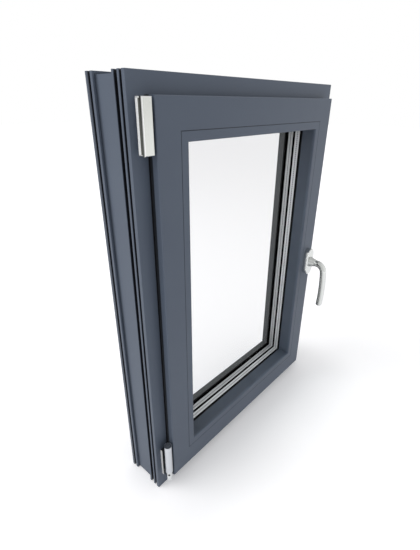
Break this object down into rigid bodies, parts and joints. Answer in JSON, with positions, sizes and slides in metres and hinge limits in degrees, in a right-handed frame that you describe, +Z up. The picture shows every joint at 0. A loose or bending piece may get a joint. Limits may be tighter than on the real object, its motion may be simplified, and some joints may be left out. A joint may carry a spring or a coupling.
{
  "type": "single-sash tilt and turn plastic window",
  "caption": "Free-standing plastic window of one inward-opening sash with triple glazing, silver hinge covers and a lever handle that turns.",
  "frame": {"origin": "on the floor under the middle of the window's overall box, which is also a point on the underside of the frame's lip at its room face", "axes": "+X along the window from the hinges to the handle, +Y from the room to the outdoors, +Z up"},
  "size_m": [0.525, 0.158, 0.72],
  "materials": {
    "profile_foil": "fine satin foil in blue grey on plastic profile",
    "gasket_rubber": "matt black seal",
    "float_glass": "clear float glass",
    "spacer_bar": "light grey spacer bar",
    "edge_sealant": "black sealant",
    "packer_plastic": "grey plastic packer",
    "handle_metal": "satin silver",
    "hinge_metal": "satin silver",
    "pin_steel": "bright steel",
    "hinge_cap": "dark grey plastic plug"
  },
  "bodies": {
    "window": {"frame_head": "profile_foil", "frame_sill": "profile_foil", "frame_hinge_jamb": "profile_foil", "frame_lock_jamb": "profile_foil", "sash_top_rail": "profile_foil", "sash_bottom_rail": "profile_foil", "sash_hinge_stile": "profile_foil", "sash_lock_stile": "profile_foil", "bead_top": "profile_foil", "bead_bottom": "profile_foil", "bead_hinge_side": "profile_foil", "bead_lock_side": "profile_foil", "overlap_gasket": "gasket_rubber", "outdoor_gasket": "gasket_rubber", "inner_glazing_gasket": "gasket_rubber", "outer_glazing_gasket": "gasket_rubber", "inner_pane": "float_glass", "middle_pane": "float_glass", "outer_pane": "float_glass", "inner_spacer": "spacer_bar", "outer_spacer": "spacer_bar", "inner_edge_seal": "edge_sealant", "outer_edge_seal": "edge_sealant", "glazing_packers": "packer_plastic", "handle_rosette": "handle_metal", "top_hinge_leaf": "hinge_metal", "top_hinge_knuckle": "hinge_metal", "top_hinge_cover": "hinge_metal", "bottom_hinge_bearing": "hinge_metal", "bottom_hinge_sleeve": "hinge_metal", "top_hinge_pin": "pin_steel", "bottom_hinge_pin": "pin_steel", "bottom_hinge_cap": "hinge_cap"},
    "handle": {"handle_lever": "handle_metal", "handle_spindle": "pin_steel"}
  },
  "joints": [
    {"name": "handle_turn", "type": "hinge", "parent": "window", "child": "handle", "pos_m": [0.2122, -0.0215, 0.342], "axis": [0, 1, 0], "range_deg": [0, 180]}
  ]
}
